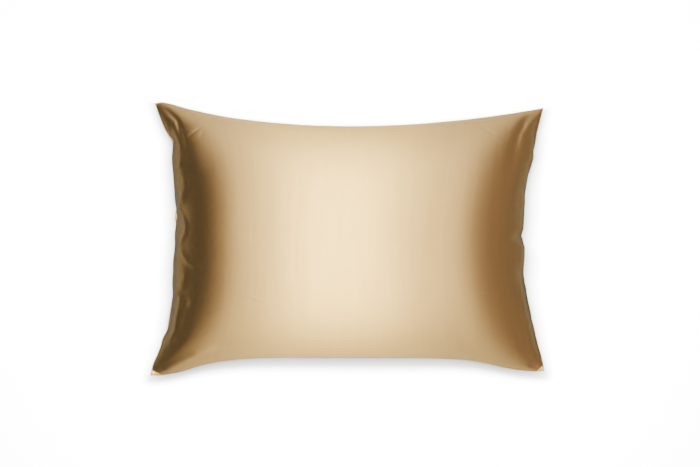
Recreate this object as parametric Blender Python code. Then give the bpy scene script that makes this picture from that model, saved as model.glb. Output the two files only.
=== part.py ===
"""A satin pillowcase drawn over a plump pillow, lying on its back.

Units are metres and +Z is up. +X runs along the case from its sewn end to its open end, and +Y
runs across it. The origin is under the middle of the outline, at the level of the flat patch
that the case rests on.

The case is a front panel and a back panel of one size, joined round their edges. Filled, they
are one closed form: the seam is a wavy loop between four drooping tips, drawn in along every
side, the front rises from it to a crown, and the back falls from it to the flat patch.
"""

from collections import namedtuple
from math import cos, exp, pi, sin

import bmesh
import bpy
from mathutils import Vector

MM = 0.001

# Each panel as it was cut, laid flat
CUT_LENGTH = 0.660
CUT_WIDTH = 0.510
# From tip to tip along a short end, as a share of its flat length: its seam is puckered
GATHERED = 0.873

# Heights over the flat patch
CROWN_HEIGHT = 0.200
SEAM_HEIGHT = 0.092
# How fast the seam leaves its height at mid side for that of its tips
SEAM_DROOP_POWER = 2.6

# A panel's profile along a line from mid case to a seam is (1 - share ** ROUND) ** SHOULDER
ROUND = 2.3
SHOULDER = 0.66
# The back sinks faster than the front rises, and settles smoothly on the flat patch
BACK_FULLNESS = 1.28
BACK_SETTLE_POWER = 1.7

# The back panel swells beyond the seam, over this share of the way to mid case
SWELL_REACH = 0.16
SWELL_FADE_POWER = 8

# Folds are flat at the seam, and reach their height this far from it
FOLD_START = 0.012

# Grid steps of a panel, and how far they crowd towards the seams (0 is even)
STEPS_ALONG = 54
STEPS_ACROSS = 40
CROWDING = 0.55

# Seam points of the two panels nearer than this are the same point
WELD_DISTANCE = 0.00001

# Where each tip is, in mm from its corner of the gathered rectangle, and its height
Tip = namedtuple("Tip", "end side x y height")
TIPS = {
    "sewn_upper": Tip(end=-1, side=+1, x=+9.7, y=+2.6, height=60),
    "open_upper": Tip(end=+1, side=+1, x=-3.9, y=-5.0, height=62),
    "open_lower": Tip(end=+1, side=-1, x=-2.1, y=+2.7, height=58),
    "sewn_lower": Tip(end=-1, side=-1, x=+1.9, y=-5.2, height=54),
}

# A side's seam: how far it is drawn in from the straight line between its tips, in mm, at
# shares of the way along, and how far the back panel swells beyond it at mid side
Section = namedtuple("Section", "share drawn_in")
Side = namedtuple("Side", "start end swell sections")
UPPER_SIDE = Side(
    "sewn_upper", "open_upper", 1.5,
    (
        Section(0.00, 0.0),
        Section(0.02, -2.5),
        Section(0.09, 8.5),
        Section(0.20, 22.0),
        Section(0.35, 32.0),
        Section(0.50, 34.5),
        Section(0.65, 31.0),
        Section(0.80, 21.5),
        Section(0.92, 9.0),
        Section(1.00, 0.0),
    ),
)
LOWER_SIDE = Side(
    "open_lower", "sewn_lower", 1.5,
    (
        Section(0.00, 0.0),
        Section(0.03, -1.0),
        Section(0.09, 4.5),
        Section(0.15, 14.0),
        Section(0.21, 20.5),
        Section(0.32, 24.0),
        Section(0.50, 26.5),
        Section(0.70, 27.5),
        Section(0.79, 24.5),
        Section(0.86, 17.5),
        Section(0.93, 5.0),
        Section(0.97, 0.5),
        Section(1.00, 0.0),
    ),
)
SEWN_END = Side(
    "sewn_lower", "sewn_upper", 2.5,
    (
        Section(0.00, 0.0),
        Section(0.045, 5.0),
        Section(0.10, 15.5),
        Section(0.14, 21.0),
        Section(0.18, 29.5),
        Section(0.23, 31.5),
        Section(0.28, 36.5),
        Section(0.38, 36.0),
        Section(0.48, 40.0),
        Section(0.535, 38.0),
        Section(0.59, 43.0),
        Section(0.64, 38.5),
        Section(0.73, 35.5),
        Section(0.80, 34.5),
        Section(0.86, 29.0),
        Section(0.925, 14.0),
        Section(1.00, 0.0),
    ),
)
OPEN_END = Side(
    "open_upper", "open_lower", 4.5,
    (
        Section(0.00, 0.0),
        Section(0.05, 8.5),
        Section(0.15, 19.5),
        Section(0.21, 24.0),
        Section(0.26, 30.0),
        Section(0.32, 36.0),
        Section(0.36, 34.5),
        Section(0.45, 38.0),
        Section(0.485, 41.0),
        Section(0.54, 36.0),
        Section(0.64, 38.0),
        Section(0.70, 32.5),
        Section(0.80, 25.0),
        Section(0.90, 13.5),
        Section(0.955, 5.0),
        Section(1.00, 0.0),
    ),
)

# Soft folds of the front panel, in mm: a straight run between two places over the case, how
# wide it is from crest to flank, and how high it stands (a trough is negative)
Fold = namedtuple("Fold", "x0 y0 x1 y1 width height")
FOLDS = (
    Fold(-305, 209, -285, 181, 9, 2.6),
    Fold(-285, 171, -282, 125, 8, 2.4),
    Fold(-282, 123, -272, 78, 9, 2.4),
    Fold(-282, 66, -264, 11, 9, 3.0),
    Fold(-269, -19, -242, -47, 10, 2.0),
    Fold(-274, -62, -287, -89, 8, 2.6),
    Fold(-282, -107, -285, -154, 9, 2.6),
    Fold(-279, 40, -284, 6, 8, -2.0),
    Fold(-269, -85, -265, -132, 9, -1.8),
    Fold(299, 164, 287, 115, 9, 1.8),
    Fold(286, 65, 289, 43, 8, 1.8),
    Fold(286, 1, 289, -44, 8, 1.6),
    Fold(294, -92, 307, -152, 9, 1.8),
    Fold(321, -205, 299, -185, 8, 2.2),
)

# Champagne satin, in linear values
SATIN_COLOUR = (0.610, 0.440, 0.262, 1.0)
SATIN_ROUGHNESS = 0.38


def clear_scene():
    """Remove whatever the file opened with."""
    for existing in list(bpy.data.objects):
        bpy.data.objects.remove(existing)


def satin_material():
    """Champagne satin."""
    material = bpy.data.materials.new("champagne_satin")
    material.use_nodes = True
    shader = material.node_tree.nodes["Principled BSDF"]
    shader.inputs["Base Color"].default_value = SATIN_COLOUR
    shader.inputs["Roughness"].default_value = SATIN_ROUGHNESS
    shader.inputs["Metallic"].default_value = 0.0
    return material


def tip_point(name):
    """Where a tip of the seam is."""
    tip = TIPS[name]
    return Vector((
        tip.end * CUT_LENGTH / 2 + tip.x * MM,
        tip.side * CUT_WIDTH * GATHERED / 2 + tip.y * MM,
        tip.height * MM,
    ))


def drawn_in(sections, share):
    """How far a side's seam is drawn in, in mm, on a smooth line through its sections."""
    last = len(sections) - 1
    after = next((i for i in range(1, last) if sections[i].share > share), last)
    before = after - 1
    low, high = sections[before], sections[after]
    width = high.share - low.share
    along = (share - low.share) / width
    start_slope = section_slope(sections, before) * width
    end_slope = section_slope(sections, after) * width
    return (
        low.drawn_in * (2 * along**3 - 3 * along**2 + 1)
        + start_slope * (along**3 - 2 * along**2 + along)
        + high.drawn_in * (3 * along**2 - 2 * along**3)
        + end_slope * (along**3 - along**2)
    )


def section_slope(sections, index):
    """The slope of the smooth line at one section, from its neighbours."""
    low = sections[max(index - 1, 0)]
    high = sections[min(index + 1, len(sections) - 1)]
    return (high.drawn_in - low.drawn_in) / (high.share - low.share)


def seam_point(side, share):
    """A point of one side's seam. Seen from above the sides run clockwise, so inward is to
    the right."""
    start, end = tip_point(side.start), tip_point(side.end)
    chord = end - start
    inward = Vector((chord.y, -chord.x, 0.0)).normalized()
    point = start + chord * share + inward * drawn_in(side.sections, share) * MM
    point.z += (SEAM_HEIGHT - point.z) * (1 - abs(2 * share - 1) ** SEAM_DROOP_POWER)
    return point


def seam_surface(along, across):
    """A smooth surface spanned by the four seams, from 0, 0 at the sewn lower tip to 1, 1 at
    the open upper tip."""
    lower = seam_point(LOWER_SIDE, 1 - along)
    upper = seam_point(UPPER_SIDE, along)
    sewn_end = seam_point(SEWN_END, across)
    open_end = seam_point(OPEN_END, 1 - across)
    corners = (
        tip_point("sewn_lower") * (1 - along) * (1 - across)
        + tip_point("open_lower") * along * (1 - across)
        + tip_point("sewn_upper") * (1 - along) * across
        + tip_point("open_upper") * along * across
    )
    between_long = lower * (1 - across) + upper * across
    between_ends = sewn_end * (1 - along) + open_end * along
    return between_long + between_ends - corners


def profile(share):
    """The rise of a panel between mid case, where it is 1, and a seam, where it is 0."""
    return (1 - min(abs(share), 1.0) ** ROUND) ** SHOULDER


def fullness(along, across):
    """The rise of a panel over its seams as a share of its rise at mid case."""
    return profile(2 * along - 1) * profile(2 * across - 1)


def fold_height(place, seam_distance):
    """What the folds add to the front panel's height at a place over the case."""
    total = 0.0
    for fold in FOLDS:
        start = Vector((fold.x0, fold.y0)) * MM
        run = Vector((fold.x1, fold.y1)) * MM - start
        offset = place.xy - start
        along = min(max(offset.dot(run) / run.length_squared, 0.0), 1.0)
        away = (offset - run * along).length
        total += fold.height * MM * exp(-((away / (fold.width * MM)) ** 2))
    return total * min(seam_distance / FOLD_START, 1.0)


def front_point(along, across):
    """A point of the front panel."""
    point = seam_surface(along, across)
    seam_distance = min(
        min(along, 1 - along) * CUT_LENGTH,
        min(across, 1 - across) * CUT_WIDTH,
    )
    point.z += (CROWN_HEIGHT - point.z) * fullness(along, across)
    point.z += fold_height(point, seam_distance)
    return point


def swell(side, distance, offset):
    """How far the back panel swells past one side's seam. The distance is from the seam and
    the offset from mid side, both as shares of half the case."""
    bulge = sin(pi * min(distance / SWELL_REACH, 1.0))
    return side.swell * MM * bulge * (1 - abs(offset) ** SWELL_FADE_POWER)


def back_point(along, across):
    """A point of the back panel."""
    point = seam_surface(along, across)
    lengthwise, crosswise = 2 * along - 1, 2 * across - 1
    point.x += swell(OPEN_END, 1 - lengthwise, crosswise)
    point.x -= swell(SEWN_END, 1 + lengthwise, crosswise)
    point.y += swell(UPPER_SIDE, 1 - crosswise, lengthwise)
    point.y -= swell(LOWER_SIDE, 1 + crosswise, lengthwise)
    sunk = min(BACK_FULLNESS * fullness(along, across), 1.0)
    point.z *= (1 - sunk) ** BACK_SETTLE_POWER
    return point


def crowded(share):
    """A share of the way across a panel, moved towards the nearer seam."""
    eased = 0.5 - 0.5 * cos(pi * share)
    return share + CROWDING * (eased - share)


def add_panel(form, surface, faces_up):
    """Lay a grid of quads on a surface and split each into triangles. The four quads at the
    tips are split through the tip, so that front and back share no triangle there."""
    made = bmesh.ops.create_grid(
        form, x_segments=STEPS_ALONG, y_segments=STEPS_ACROSS, size=1.0
    )
    points = made["verts"]
    faces = list(dict.fromkeys(f for point in points for f in point.link_faces))
    tip_faces = [f for f in faces if any(len(p.link_edges) == 2 for p in f.verts)]
    for point in points:
        along = crowded((point.co.x + 1) / 2)
        across = crowded((point.co.y + 1) / 2)
        point.co = surface(along, across)
    if not faces_up:
        bmesh.ops.reverse_faces(form, faces=faces)
    bmesh.ops.triangulate(form, faces=tip_faces, quad_method="LONG_EDGE")
    other_faces = [face for face in faces if face.is_valid and len(face.verts) == 4]
    bmesh.ops.triangulate(form, faces=other_faces, quad_method="SHORT_EDGE")


def centre_outline(form):
    """Move the form so that the middle of its outline is over the origin."""
    xs = [point.co.x for point in form.verts]
    ys = [point.co.y for point in form.verts]
    middle = Vector(((min(xs) + max(xs)) / 2, (min(ys) + max(ys)) / 2, 0.0))
    bmesh.ops.translate(form, verts=form.verts, vec=-middle)


def build_filled_case():
    """The front and back panels, joined at the seam into one closed form."""
    form = bmesh.new()
    add_panel(form, front_point, faces_up=True)
    add_panel(form, back_point, faces_up=False)
    seam = [point for point in form.verts if point.is_boundary]
    bmesh.ops.remove_doubles(form, verts=seam, dist=WELD_DISTANCE)
    centre_outline(form)
    mesh = bpy.data.meshes.new("filled_case")
    form.to_mesh(mesh)
    form.free()
    mesh.shade_smooth()
    mesh.materials.append(satin_material())
    case = bpy.data.objects.new("filled_case", mesh)
    bpy.context.scene.collection.objects.link(case)
    return case


clear_scene()
build_filled_case()
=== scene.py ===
"""A champagne satin pillowcase drawn over a plump pillow, lying on its back.

Units are metres unless a name or a table says mm, and +Z is up. +X runs along the case from its
sewn end to its open end, and +Y across it. The camera looks straight down on its face.

The case is two panels of one cut size, joined round their edges along a wavy seam between four
drooping tips. They start as a crown and a settled back, and Blender's cloth solver inflates them
with the flat cut as their rest shape and the seam held. They are then sampled on a finer grid and
given their rolled seam edges, hem, gathers and creases.
"""

import logging
from dataclasses import dataclass, field
from enum import Enum
from math import pi, radians
from typing import NamedTuple

import bpy
import numpy as np
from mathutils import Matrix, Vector


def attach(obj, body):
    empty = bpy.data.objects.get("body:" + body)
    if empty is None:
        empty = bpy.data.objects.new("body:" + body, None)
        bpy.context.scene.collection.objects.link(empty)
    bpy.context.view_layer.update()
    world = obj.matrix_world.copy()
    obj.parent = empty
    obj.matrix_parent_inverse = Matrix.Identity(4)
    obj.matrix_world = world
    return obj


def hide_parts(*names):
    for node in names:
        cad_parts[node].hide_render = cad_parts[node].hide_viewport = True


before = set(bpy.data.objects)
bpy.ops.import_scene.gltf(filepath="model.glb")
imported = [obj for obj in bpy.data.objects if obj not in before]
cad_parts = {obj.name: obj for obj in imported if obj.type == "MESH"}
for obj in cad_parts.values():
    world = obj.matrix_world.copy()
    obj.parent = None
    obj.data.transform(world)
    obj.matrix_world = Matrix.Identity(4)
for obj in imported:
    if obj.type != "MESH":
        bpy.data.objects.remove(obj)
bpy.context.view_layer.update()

LOG = logging.getLogger("pillowcase")
BODY = "root"
CASE_NODE = "filled_case"
MM = 0.001
UP = np.array((0.0, 0.0, 1.0))
# Steps in which a length and a row of stitches are measured
LENGTH_SAMPLES = 20001
ROW_SAMPLES = 4001


# ---------------------------------------------------------------------------------------------
# Shader and mesh helpers
# ---------------------------------------------------------------------------------------------


def linear(colour: str) -> tuple[float, float, float, float]:
    """An sRGB hex colour such as "#C9A27A" as linear values with full alpha.

    Args:
        colour: Seven characters, # and six hex digits.

    Returns:
        Red, green, blue and alpha.
    """
    values = (int(colour[i:i + 2], 16) / 255 for i in (1, 3, 5))
    return (*(v / 12.92 if v <= 0.04045 else ((v + 0.055) / 1.055) ** 2.4 for v in values), 1.0)


def add_node(
    tree: bpy.types.NodeTree,
    kind: str,
    settings: dict[str, object] | None = None,
    inputs: dict[str | int, object] | None = None,
) -> bpy.types.Node:
    """Add a node to a tree, with its settings, values and links.

    Args:
        tree: The shader or geometry tree.
        kind: The node's type, such as "ShaderNodeBump".
        settings: Attributes of the node, set first because some change its sockets.
        inputs: By socket name or index, a value or the output socket to link from.

    Returns:
        The node.
    """
    made = tree.nodes.new(kind)
    for name, value in (settings or {}).items():
        setattr(made, name, value)
    for name, value in (inputs or {}).items():
        if isinstance(value, bpy.types.NodeSocket):
            tree.links.new(value, made.inputs[name])
        else:
            made.inputs[name].default_value = value
    return made


def new_material(name: str) -> tuple[bpy.types.Material, bpy.types.NodeTree]:
    """An empty node material and its tree.

    Args:
        name: The material's name.

    Returns:
        The material and its tree.
    """
    material = bpy.data.materials.new(name)
    material.use_nodes = True
    material.node_tree.nodes.clear()
    return material, material.node_tree


def add_object(name: str, data: bpy.types.ID | None) -> bpy.types.Object:
    """A new object of the scene with the data.

    Args:
        name: Its name.
        data: Its mesh, light or camera.

    Returns:
        The object.
    """
    made = bpy.data.objects.new(name, data)
    bpy.context.scene.collection.objects.link(made)
    return made


# ---------------------------------------------------------------------------------------------
# Finishes
# ---------------------------------------------------------------------------------------------


@dataclass(frozen=True)
class SatinFinish:
    """Polyester charmeuse satin in champagne gold.

    Long floats of bright yarn lie side by side on the face, so the eye sees an almost metallic
    gloss: pale cream where the cloth faces the light, deep brown a few degrees further round.
    The gloss is narrow along the case and broad across it, because the floats run along it.
    Loose fibres on them add a soft pale bloom where the cloth is seen at a slant.
    """

    name: str = "champagne_charmeuse_satin"
    colour: str = "#CEAC77"
    streak_colour: str = "#CBA873"
    metallic: float = 0.95
    roughness: float = 0.49
    roughness_spread: float = 0.02
    anisotropy: float = 0.92
    bloom: float = 0.21
    bloom_roughness: float = 0.5
    bloom_colour: str = "#FFFBF4"
    highlight_across: float = 0.25
    float_width: float = 0.25 * MM
    float_length: float = 1.6 * MM
    float_gap: float = 0.15
    float_relief: float = 0.010 * MM
    streak_width: float = 9.0 * MM
    streak_length: float = 220.0 * MM
    slub_relief: float = 0.012 * MM
    # Slubs are this much finer than the streaks, in width and in length
    slub_finer: tuple[float, float] = (3.0, 6.0)

    def material(self) -> bpy.types.Material:
        """The satin's material, which reads the cloth's own UV map in metres.

        Returns:
            The material.
        """
        material, tree = new_material(self.name)
        cloth = add_node(tree, "ShaderNodeUVMap", {"uv_map": CLOTH_MAP}).outputs["UV"]
        streaks = self._noise(tree, cloth, self.streak_width, self.streak_length)
        tone = add_node(
            tree,
            "ShaderNodeMix",
            {"data_type": "RGBA"},
            {0: streaks, 6: linear(self.colour), 7: linear(self.streak_colour)},
        )
        gloss = add_node(
            tree,
            "ShaderNodeMapRange",
            inputs={
                "Value": streaks,
                "To Min": self.roughness - self.roughness_spread,
                "To Max": self.roughness + self.roughness_spread,
            },
        )
        shader = add_node(
            tree,
            "ShaderNodeBsdfPrincipled",
            inputs={
                "Base Color": tone.outputs[2],
                "Metallic": self.metallic,
                "Roughness": gloss.outputs["Result"],
                "Anisotropic": self.anisotropy,
                "Anisotropic Rotation": self.highlight_across,
                "Sheen Weight": self.bloom,
                "Sheen Roughness": self.bloom_roughness,
                "Sheen Tint": linear(self.bloom_colour),
                "Normal": self._relief(tree, cloth),
                "Tangent": add_node(
                    tree,
                    "ShaderNodeTangent",
                    {"direction_type": "UV_MAP", "uv_map": CLOTH_MAP},
                ).outputs["Tangent"],
            },
        )
        add_node(tree, "ShaderNodeOutputMaterial", inputs={"Surface": shader.outputs["BSDF"]})
        return material

    def _noise(
        self,
        tree: bpy.types.NodeTree,
        cloth: bpy.types.NodeSocket,
        width: float,
        length: float,
    ) -> bpy.types.NodeSocket:
        """Soft streaks across the case.

        Args:
            tree: The material's tree.
            cloth: The cloth's UV map, in metres.
            width: A streak's width along the case, in metres.
            length: A streak's length across the case, in metres.

        Returns:
            The streaks, from 0 to 1.
        """
        scaled = add_node(
            tree,
            "ShaderNodeMapping",
            inputs={"Vector": cloth, "Scale": (1 / width, 1 / length, 1.0)},
        )
        noise = add_node(
            tree,
            "ShaderNodeTexNoise",
            {"noise_dimensions": "2D"},
            {"Vector": scaled.outputs["Vector"], "Scale": 1.0, "Detail": 2.0},
        )
        return noise.outputs["Fac"]

    def _relief(
        self, tree: bpy.types.NodeTree, cloth: bpy.types.NodeSocket
    ) -> bpy.types.NodeSocket:
        """The floats of the weave, with slubs over them. Real floats are half as wide, and
        these are as coarse as a close view needs to show them.

        Args:
            tree: The material's tree.
            cloth: The cloth's UV map, in metres.

        Returns:
            The bumped normal.
        """
        floats = add_node(
            tree,
            "ShaderNodeTexBrick",
            {"offset": 0.4, "offset_frequency": 1, "squash": 1.0},
            {
                "Vector": cloth,
                "Color1": (1.0, 1.0, 1.0, 1.0),
                "Color2": (0.8, 0.8, 0.8, 1.0),
                "Mortar": (0.0, 0.0, 0.0, 1.0),
                "Scale": 1.0,
                "Mortar Size": self.float_width * self.float_gap,
                "Mortar Smooth": 1.0,
                "Brick Width": self.float_length,
                "Row Height": self.float_width,
            },
        )
        weave = add_node(
            tree,
            "ShaderNodeBump",
            inputs={
                "Strength": 1.0,
                "Distance": self.float_relief,
                "Height": floats.outputs["Color"],
            },
        )
        finer = self.slub_finer
        slubs = self._noise(
            tree, cloth, self.streak_width / finer[0], self.streak_length / finer[1]
        )
        return add_node(
            tree,
            "ShaderNodeBump",
            inputs={
                "Strength": 1.0,
                "Distance": self.slub_relief,
                "Height": slubs,
                "Normal": weave.outputs["Normal"],
            },
        ).outputs["Normal"]


@dataclass(frozen=True)
class ThreadFinish:
    """Spun polyester sewing thread, dyed to the cloth: twisted and nearly matt, so beside the
    bright satin a stitch reads as a fine brown dash."""

    name: str = "champagne_sewing_thread"
    colour: str = "#7A5430"
    # Painted shade: the twist's grooves are drawn in this darker colour, on top of their bump
    painted_groove_shade: str = "#5E3F22"
    roughness: float = 0.62
    twist: float = 0.45 * MM
    twist_relief: float = 0.03 * MM
    # With this the wave texture draws the twist about twice as coarse as it is, so that it shows
    twist_coarser: float = 6.0
    twist_slant: tuple[float, float, float] = (35.0, 20.0, 50.0)

    def material(self) -> bpy.types.Material:
        """The thread's material, with its twist as a fine slanted ripple whose grooves carry painted
        shade.

        Returns:
            The material.
        """
        material, tree = new_material(self.name)
        place = add_node(tree, "ShaderNodeTexCoord").outputs["Object"]
        turned = add_node(
            tree,
            "ShaderNodeMapping",
            inputs={"Vector": place, "Rotation": tuple(map(radians, self.twist_slant))},
        )
        ripple = add_node(
            tree,
            "ShaderNodeTexWave",
            inputs={"Vector": turned.outputs["Vector"], "Scale": 1 / (self.twist * self.twist_coarser)},
        )
        relief = add_node(
            tree,
            "ShaderNodeBump",
            inputs={"Distance": self.twist_relief, "Height": ripple.outputs["Fac"]},
        )
        # The colour follows the twist's ripple, darker in its grooves: painted shade
        tone = add_node(
            tree,
            "ShaderNodeMix",
            {"data_type": "RGBA"},
            {
                0: ripple.outputs["Fac"],
                6: linear(self.painted_groove_shade),
                7: linear(self.colour),
            },
        )
        shader = add_node(
            tree,
            "ShaderNodeBsdfPrincipled",
            inputs={
                "Base Color": tone.outputs[2],
                "Roughness": self.roughness,
                "Normal": relief.outputs["Normal"],
            },
        )
        add_node(tree, "ShaderNodeOutputMaterial", inputs={"Surface": shader.outputs["BSDF"]})
        return material


@dataclass(frozen=True)
class PlainFinish:
    """A matt plain surface of the studio."""

    name: str
    colour: tuple[float, float, float]

    def material(self) -> bpy.types.Material:
        """The surface's material.

        Returns:
            The material.
        """
        material, tree = new_material(self.name)
        shader = add_node(
            tree, "ShaderNodeBsdfDiffuse", inputs={"Color": (*self.colour, 1.0)}
        )
        add_node(tree, "ShaderNodeOutputMaterial", inputs={"Surface": shader.outputs["BSDF"]})
        return material


# ---------------------------------------------------------------------------------------------
# The case's cut, seam and creases
# ---------------------------------------------------------------------------------------------

CLOTH_MAP = "cloth"


class Face(Enum):
    """The two panels of the case, by the way they face."""

    FRONT = 1
    BACK = -1


class Tip(NamedTuple):
    """A pointed corner: its end and side, where it is from its corner of the gathered
    rectangle, and its height over the floor. All in mm."""

    end: int
    side: int
    x: float
    y: float
    height: float


class Section(NamedTuple):
    """A place along a side's seam, and how far in mm the seam is drawn in there from the
    straight line between its tips."""

    share: float
    drawn_in: float


class Shown(NamedTuple):
    """A place along a side's seam, how far in mm the back panel shows beyond it there, and how
    much of that it turns up, or down where negative."""

    share: float
    out: float
    turned: float = 0.75


class SeamSide(NamedTuple):
    """One side of the seam. Seen from above the sides run clockwise."""

    start: str
    end: str
    sections: tuple[Section, ...]
    shown: tuple[Shown, ...]


class Crease(NamedTuple):
    """A soft ridge of the front panel, or a trough where its height is negative: its width from
    crest to flank, its height, and the places over the case that it runs through. In mm."""

    width: float
    height: float
    line: tuple[tuple[float, float], ...]


class Flap(NamedTuple):
    """A corner that the pillow doesn't fill, so that the cloth lies flat there: its tip, and
    its reach along the case and across it. In mm."""

    tip: str
    along: float
    across: float


TIPS = {
    "sewn_upper": Tip(-1, +1, +9.7, +2.6, 60),
    "open_upper": Tip(+1, +1, -3.9, -5.0, 62),
    "open_lower": Tip(+1, -1, -2.1, +2.7, 58),
    "sewn_lower": Tip(-1, -1, +1.9, -5.2, 54),
}

UPPER_SIDE = SeamSide("sewn_upper", "open_upper", (
    Section(0.00, 0.0), Section(0.02, -1.9), Section(0.09, 10.8), Section(0.20, 24.6),
    Section(0.35, 34.0), Section(0.50, 35.7), Section(0.65, 32.0), Section(0.80, 23.0),
    Section(0.92, 11.3), Section(1.00, 0.0),
), (
    Shown(0.00, 0.3), Shown(0.06, 2.6), Shown(0.20, 3.2), Shown(0.35, 2.8), Shown(0.50, 2.0),
    Shown(0.65, 2.3), Shown(0.80, 3.2), Shown(0.94, 2.8), Shown(1.00, 0.3),
))
LOWER_SIDE = SeamSide("open_lower", "sewn_lower", (
    Section(0.00, 0.0), Section(0.03, 0.2), Section(0.09, 6.6), Section(0.15, 15.7),
    Section(0.21, 22.4), Section(0.32, 25.7), Section(0.50, 27.7), Section(0.70, 29.3),
    Section(0.79, 26.4), Section(0.86, 19.2), Section(0.93, 6.2), Section(0.97, 0.9),
    Section(1.00, 0.0),
), (
    Shown(0.00, 0.3), Shown(0.06, 2.6), Shown(0.15, 3.1), Shown(0.25, 2.5), Shown(0.50, 1.9),
    Shown(0.68, 2.3), Shown(0.80, 3.0), Shown(0.92, 2.8), Shown(1.00, 0.5),
))
SEWN_END = SeamSide("sewn_lower", "sewn_upper", (
    Section(0.00, 0.0), Section(0.045, 5.2), Section(0.10, 15.7), Section(0.14, 21.1),
    Section(0.18, 29.8), Section(0.23, 33.2), Section(0.28, 37.2), Section(0.38, 37.4),
    Section(0.48, 39.3), Section(0.535, 39.9), Section(0.59, 41.9), Section(0.64, 38.4),
    Section(0.73, 34.6), Section(0.80, 31.5), Section(0.86, 31.3), Section(0.925, 14.6),
    Section(1.00, 0.0),
), (
    Shown(0.00, 0.3), Shown(0.05, 0.6), Shown(0.12, 0.6), Shown(0.175, 1.5), Shown(0.20, 3.6),
    Shown(0.235, 3.0), Shown(0.27, 3.8), Shown(0.30, 2.2), Shown(0.34, 3.4), Shown(0.38, 2.6),
    Shown(0.43, 3.2), Shown(0.47, 1.6), Shown(0.50, 1.2), Shown(0.53, 3.2), Shown(0.555, 1.5),
    Shown(0.585, 6.0, 1.0), Shown(0.615, 1.2), Shown(0.65, 0.8), Shown(0.80, 0.8),
    Shown(0.815, 1.8), Shown(0.835, 0.8), Shown(0.86, 3.2), Shown(0.90, 3.4), Shown(0.925, 1.8),
    Shown(0.95, 1.2), Shown(0.985, 0.8), Shown(1.00, 0.3),
))
OPEN_END = SeamSide("open_upper", "open_lower", (
    Section(0.00, 0.0), Section(0.05, 9.2), Section(0.10, 15.4), Section(0.15, 15.8),
    Section(0.21, 22.6), Section(0.26, 26.6), Section(0.32, 31.5), Section(0.36, 32.2),
    Section(0.45, 34.5), Section(0.47, 36.5), Section(0.485, 39.5), Section(0.50, 37.0),
    Section(0.54, 32.7), Section(0.64, 35.1), Section(0.70, 31.3), Section(0.80, 22.9),
    Section(0.90, 13.2), Section(0.955, 5.4), Section(1.00, 0.0),
), (
    Shown(0.00, 2.0, -0.5), Shown(0.03, 4.0, -0.8), Shown(0.08, 5.5, -0.8),
    Shown(0.12, 4.5, -0.8), Shown(0.15, 1.0, -0.8), Shown(0.165, 1.0, -0.8),
    Shown(0.19, 5.0, -0.8), Shown(0.225, 3.5, -0.8), Shown(0.26, 0.8, 0.3),
    Shown(0.31, 1.2, 0.6), Shown(0.33, 0.6, 0.6), Shown(0.46, 0.6, 0.6), Shown(0.49, 2.0),
    Shown(0.52, 0.6, 0.6), Shown(0.62, 0.8, 0.0), Shown(0.66, 2.8, -0.8),
    Shown(0.72, 2.8, -0.8), Shown(0.80, 3.5, -0.8), Shown(0.88, 4.2, -0.8),
    Shown(0.94, 4.0, -0.8), Shown(0.98, 2.5, -0.4), Shown(1.00, 1.5, 0.0),
))

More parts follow.
